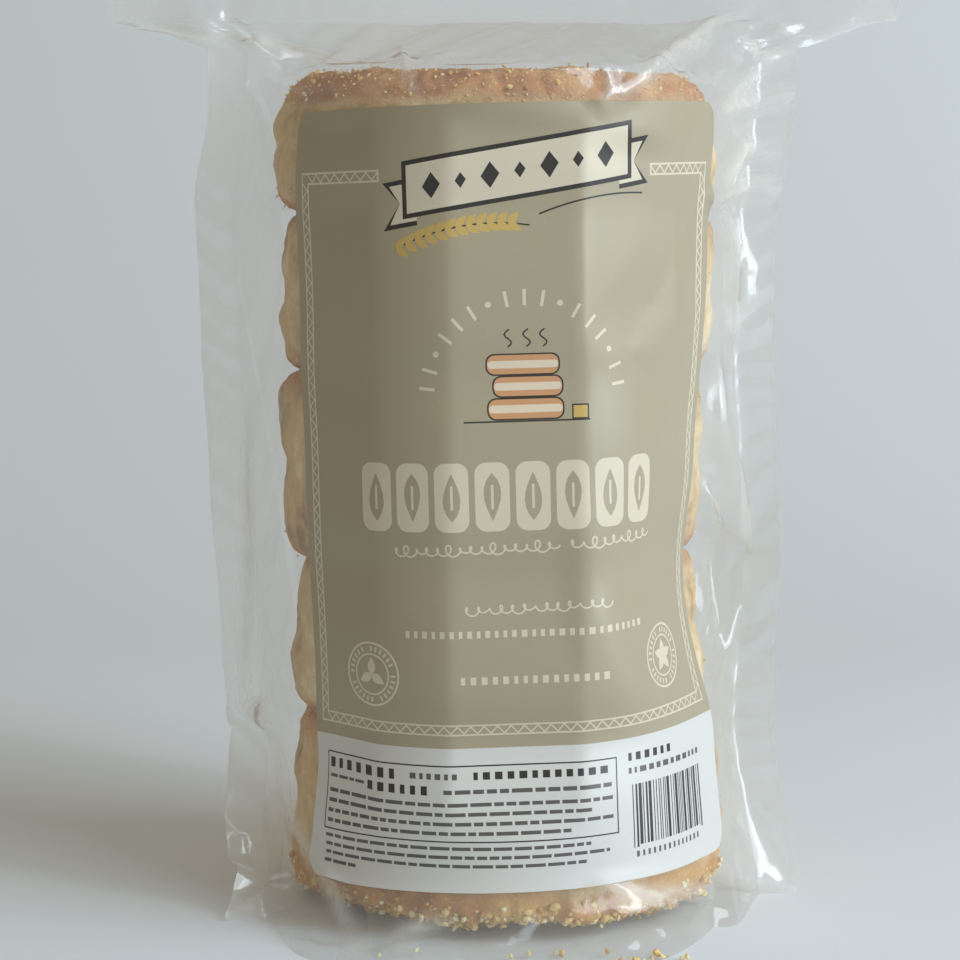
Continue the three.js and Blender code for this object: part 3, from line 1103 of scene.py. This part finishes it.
def row_of_tiles(sheet):
    """Eight bold tiles, each with a leaf cut out of it."""
    left, right, top, bottom = -33.4, 29.8, 68.2, 81.6
    pitch = (right - left) / 8
    for k in range(8):
        x = left + pitch * k
        sheet.rounded(CREAM, x, top, x + pitch - 1.2, bottom, 2.2)
        middle = x + (pitch - 1.2) / 2
        turn = 90 if k % 2 else -90
        start = top + 2 if k % 2 else bottom - 2
        sheet.leaf(SAGE, middle, start, bottom - top - 4, 3.4, turn)
        sheet.line(CREAM, [(middle, top + 4.5), (middle, bottom - 4.5)], 0.5)


def badge(sheet, x, y, radius, petals):
    """Two rings with strokes between them, round a plain flower."""
    sheet.ring(CREAM, SAGE, x, y, radius, 0.45)
    for k in range(28):
        if k % 7 != 6:
            turn = math.tau * k / 28
            u, v = math.cos(turn), math.sin(turn)
            ends = (radius - 1.0, radius - 1.75)
            sheet.line(CREAM, [(x + u * r, y + v * r) for r in ends], 0.45)
    sheet.ring(CREAM, SAGE, x, y, radius - 2.3, 0.35)
    for k in range(petals):
        sheet.leaf(CREAM, x, y, radius - 3.1, 1.9, 360 * k / petals - 90)


def white_panel(sheet):
    """A ruled box of small print, more small print under it, and plain stripes beside it."""
    left, top, right, bottom = -46.6, 128.0, 17.4, 142.4
    sheet.line(DARK, [(left, top), (right, top), (right, bottom), (left, bottom), (left, top)], 0.28)
    sheet.small_print(DARK, left + 0.9, left + 19.5, top + 1.0, 1.9, (0.5, 0.9))
    sheet.small_print(GREY, left + 22, left + 33, top + 1.4, 1.1, (0.6, 1.2))
    sheet.small_print(DARK, left + 35, right - 1.2, top + 1.2, 1.4, (0.6, 1.2))
    sheet.small_print(GREY, left + 0.9, left + 11, top + 4.2, 0.6)
    sheet.small_print(DARK, left + 12, left + 27, top + 3.8, 1.7, (0.5, 0.9))
    sheet.small_print(GREY, left + 29, right - 1, top + 4.4, 0.8)
    for k in range(4):
        row_end = right - 1 - (9 if k == 3 else 4 * (k % 2))
        sheet.small_print(GREY, left + 0.9, row_end, top + 6.9 + 1.85 * k, 0.72)
    for k in range(4):
        row_end = left + 9 if k == 3 else right - 6 + 4 * (k % 2)
        sheet.small_print(GREY, left + 0.4, row_end, bottom + 1.0 + 1.75 * k, 0.68)
    sheet.small_print(DARK, 20.3, 33.5, 127.6, 1.5, (0.5, 0.9))
    sheet.small_print(GREY, 20.3, 43.0, 130.4, 1.1, (0.5, 1.6))
    x = 21.0
    while x < 42.6:
        width = random.choice((0.26, 0.26, 0.5, 0.78))
        sheet.bar(DARK, x, 133.6, x + width, 145.6 + 0.5 * (x < 22 or x > 42))
        x += width + random.choice((0.28, 0.28, 0.52))
    sheet.small_print(GREY, 21.6, 42.4, 146.8, 1.2, (0.4, 0.6))


def bend_label(places, lift):
    """Lays flat places on the label (right of its middle, up from its middle) onto the settled film."""
    right, up = places[:, 0], places[:, 1]
    heights = label_middle + up * math.cos(label_tilt) + right * math.sin(label_tilt)
    lengths = label_across + right * math.cos(label_tilt) - up * math.sin(label_tilt)
    rows = np.interp(heights, film_heights, np.arange(len(film_heights)))
    columns = np.empty(len(rows))
    all_columns = np.arange(film_columns)
    for k, row in enumerate(rows):
        low = int(row)
        first = np.interp(lengths[k], front_lengths[low], all_columns)
        second = np.interp(lengths[k], front_lengths[low + 1], all_columns)
        columns[k] = first + (second - first) * (row - low)
    out = sheet_point(sheet_normals(front_sheet), rows, columns)
    out /= np.linalg.norm(out, axis=1, keepdims=True)
    return sheet_point(front_sheet, rows, columns) + out * lift, out


def make_label():
    shapes = print_label()
    flat = []
    outlines = []
    for ink, outline in shapes:
        outlines.append(list(range(len(flat), len(flat) + len(outline))))
        flat += [(x, label_height / 2 - y) for x, y in outline]
    grid = 1.9
    for x in np.arange(-label_width / 2 + grid, label_width / 2, grid):
        for y in np.arange(-label_height / 2 + grid, label_height / 2, grid):
            flat.append((float(x), float(y)))
    points, _, faces, _, _, sources = geometry.delaunay_2d_cdt(
        [Vector(place) for place in flat], [], outlines, 1, 1e-4
    )
    places = np.array([tuple(point) for point in points])
    inks = [shapes[max(source)][0] for source in sources]
    inner, out = bend_label(places, 0.12)
    count = len(inner)
    uses = Counter(frozenset(edge) for face in faces for edge in zip(face, face[1:] + face[:1]))
    rims = [edge for face in faces for edge in zip(face, face[1:] + face[:1]) if uses[frozenset(edge)] == 1]
    paper_faces = faces + [[k + count for k in face[::-1]] for face in faces]
    paper_faces += [(b, a, a + count, b + count) for a, b in rims]
    inks += [WHITE] * (len(faces) + len(rims))
    mesh = bpy.data.meshes.new("front_label")
    mesh.from_pydata([tuple(p) for p in np.concatenate([inner + out * 0.13, inner]) * MM], [], paper_faces)
    label = bpy.data.objects.new("front_label", mesh)
    scene.collection.objects.link(label)
    flat_map = mesh.uv_layers.new(name="sheet")
    corners = np.empty(len(mesh.loops), int)
    mesh.loops.foreach_get("vertex_index", corners)
    flat_map.data.foreach_set("uv", (places[corners % count] / 200 + 0.5).ravel())
    for finish in label_finishes():
        mesh.materials.append(finish)
    mesh.polygons.foreach_set("material_index", inks)
    make_active(label)
    bpy.ops.object.shade_smooth()
    mesh.normals_split_custom_set_from_vertices([tuple(n) for n in np.concatenate([out, -out])])
    return label


def label_finishes():
    """One coated, faintly mottled paper in each ink."""
    inks = {
        "sage_ink": (167, 155, 130), "cream_ink": (211, 199, 176), "white_paper": (210, 208, 203),
        "dark_ink": (52, 48, 44), "grey_ink": (92, 89, 86), "gold_ink": (198, 166, 96),
        "tan_ink": (203, 150, 106), "oat_ink": (222, 205, 180),
    }
    finishes = []
    for name, shade in inks.items():
        colour = srgb(*shade)
        paper = Finish(name)
        place = paper.coordinates("UV")
        mottle = paper.noise(place, 900, 4, 0.6)
        dusty = paper.mixed(
            (paper.noise(place, 260, 5, 0.7) - 0.62).limited() * 2.2, colour,
            tuple(c + (1 - c) * 0.35 for c in colour),
        )
        rough = paper.bump(mottle, 0.00004, 0.5)
        finishes.append(paper.surface(paper.node(
            "ShaderNodeBsdfPrincipled", "BSDF", {}, Base_Color=dusty,
            Roughness=0.34 + 0.12 * mottle, Normal=rough,
        )))
    return finishes


random.seed(7)
label = make_label()
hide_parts("label")
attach(label, "root")


# The studio is one pale sweep of paper that curves up behind the pack and ends a hand above it. A large
# cool window lights it from the right, and the room's warmer light fills the shade.
sweep_profile = [(-3.0, 0)]
sweep_turns = np.radians(np.linspace(0, 65, 20))
sweep_profile += [(0.3 + 0.7 * math.sin(a), 0.7 - 0.7 * math.cos(a)) for a in sweep_turns]
sweep_mesh = bpy.data.meshes.new("studio_sweep")
sweep_mesh.from_pydata(
    [(side * 3.0, y, z) for y, z in sweep_profile for side in (-1, 1)], [],
    [(2 * k, 2 * k + 1, 2 * k + 3, 2 * k + 2) for k in range(len(sweep_profile) - 1)],
)
sweep = bpy.data.objects.new("studio_sweep", sweep_mesh)
scene.collection.objects.link(sweep)
make_active(sweep)
bpy.ops.object.shade_smooth()
paper_sweep = Finish("sweep_paper")
sweep.data.materials.append(paper_sweep.surface(paper_sweep.node(
    "ShaderNodeBsdfPrincipled", "BSDF", {}, Base_Color=(0.80, 0.835, 0.88), Roughness=0.9,
)))
world = bpy.data.worlds.new("room")
world.use_nodes = True
world.node_tree.nodes["Background"].inputs["Color"].default_value = (0.350, 0.323, 0.262, 1)
world.node_tree.nodes["Background"].inputs["Strength"].default_value = 1.0
scene.world = world


def hang_lamp(name, place, aim, width, height, power, colour):
    data = bpy.data.lights.new(name, "AREA")
    data.shape = "RECTANGLE"
    data.size = width
    data.size_y = height
    data.energy = power
    data.color = colour
    lamp = bpy.data.objects.new(name, data)
    lamp.location = place
    lamp.rotation_euler = (Vector(aim) - Vector(place)).to_track_quat("-Z", "Y").to_euler()
    scene.collection.objects.link(lamp)


hang_lamp("window", (1.0, -0.53, 0.6), (0, 0, 0.1), 0.9, 1.3, 14.8, (0.79, 0.93, 1.05))
hang_lamp("bright_pane", (0.95, -0.62, 0.5), (0, 0, 0.1), 0.12, 0.9, 2.7, (0.86, 0.95, 1.03))
scene.view_settings.view_transform = "Standard"
